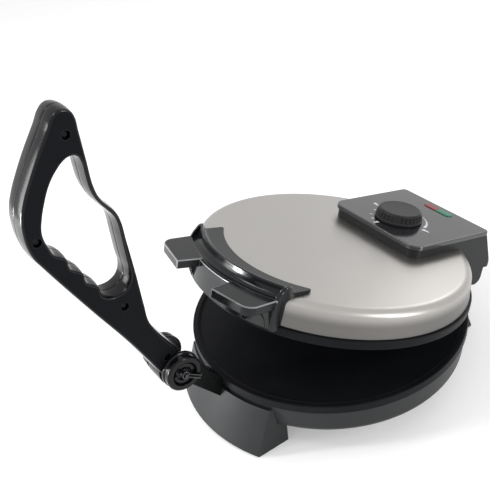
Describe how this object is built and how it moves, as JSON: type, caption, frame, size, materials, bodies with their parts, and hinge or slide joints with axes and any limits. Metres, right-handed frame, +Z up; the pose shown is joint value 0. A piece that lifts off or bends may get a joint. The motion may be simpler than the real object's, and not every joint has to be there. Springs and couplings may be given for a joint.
{
  "type": "electric roti maker",
  "caption": "Round hinged electric flatbread maker with domed lid, thermostat box and a long swing-over pressing lever with a finger opening.",
  "frame": {"origin": "middle of the whole footprint at rest, on the surface that the feet stand on", "axes": "+Z up, +Y from the lever towards the lid's hinge, +X to the side of the green lens and the lever's retaining clip"},
  "size_m": [0.28, 0.4568, 0.3739],
  "materials": {
    "handle_black": "polished black phenolic",
    "grip_black": "satin-gloss black phenolic",
    "body_grey": "satin dark grey plastic",
    "panel_black": "gloss black plastic",
    "arm_paint": "satin black paint",
    "plate_coating": "cast, dark non-stick coating",
    "dome_steel": "fine circular brush",
    "hardware_steel": "bright zinc",
    "element_sheath": "heat-darkened",
    "tin": "plain sheet",
    "pad_rubber": "matt",
    "red_lens": "translucent red",
    "green_lens": "translucent green",
    "lamp_glass": "clear",
    "ceramic": "white sleeve"
  },
  "bodies": {
    "base": {"base_shell": "body_grey", "lower_plate": "plate_coating", "lower_heating_element": "element_sheath", "lower_reflector": "tin", "bottom_cover": "tin", "bottom_cover_screw_1": "hardware_steel", "bottom_cover_screw_2": "hardware_steel", "bottom_cover_screw_3": "hardware_steel", "bottom_cover_screw_4": "hardware_steel", "front_foot": "body_grey", "rear_foot": "body_grey", "foot_pad_1": "pad_rubber", "foot_pad_2": "pad_rubber", "foot_pad_3": "pad_rubber", "foot_pad_4": "pad_rubber", "foot_screw_1": "hardware_steel", "foot_screw_2": "hardware_steel", "foot_screw_3": "hardware_steel", "foot_screw_4": "hardware_steel", "cord_gland": "pad_rubber", "lever_arm": "arm_paint", "hinge_pin": "hardware_steel"},
    "lever": {"handle_right_half": "handle_black", "handle_left_half": "handle_black", "handle_screw_1": "hardware_steel", "handle_screw_2": "hardware_steel", "handle_screw_3": "hardware_steel", "handle_screw_4": "hardware_steel", "hub_cap_right": "handle_black", "hub_cap_left": "handle_black", "pivot_pin": "hardware_steel", "retaining_clip": "hardware_steel"},
    "yoke": {"hinge_yoke": "hardware_steel", "hinge_spring_right": "hardware_steel", "hinge_spring_left": "hardware_steel"},
    "lid": {"upper_plate": "plate_coating", "lid_dome": "dome_steel", "upper_heating_element": "element_sheath", "upper_reflector": "tin", "front_grip": "grip_black", "grip_screw_1": "hardware_steel", "grip_screw_2": "hardware_steel", "thermal_fuse": "ceramic", "control_box": "body_grey", "control_box_screw_1": "hardware_steel", "control_box_screw_2": "hardware_steel", "control_panel": "panel_black", "red_lens": "red_lens", "green_lens": "green_lens", "red_lamp": "lamp_glass", "green_lamp": "lamp_glass", "thermostat": "tin"},
    "knob": {"knob": "handle_black", "knob_shaft": "hardware_steel"}
  },
  "joints": [
    {"name": "lever_pivot", "type": "hinge", "parent": "base", "child": "lever", "pos_m": [0, -0.1278, 0.102], "axis": [-1, 0, 0], "range_deg": [0, 92.4]},
    {"name": "lid_press", "type": "hinge", "parent": "base", "child": "yoke", "pos_m": [0, 0.2099, 0.0646], "axis": [-1, 0, 0], "range_deg": [-15, 0], "stiffness_Nm_per_rad": 4, "springref_deg": 51.57},
    {"name": "lid_open", "type": "hinge", "parent": "yoke", "child": "lid", "pos_m": [0, 0.2099, 0.0646], "axis": [-1, 0, 0], "range_deg": [0, 75]},
    {"name": "knob_turn", "type": "hinge", "parent": "lid", "child": "knob", "pos_m": [0, 0.15436, 0.13435], "axis": [0, 0.2588, 0.9659], "range_deg": [0, 270]}
  ],
  "couplings": [
    {"joint": "lid_press", "follows": "lever_pivot", "ratio": -0.1623}
  ]
}
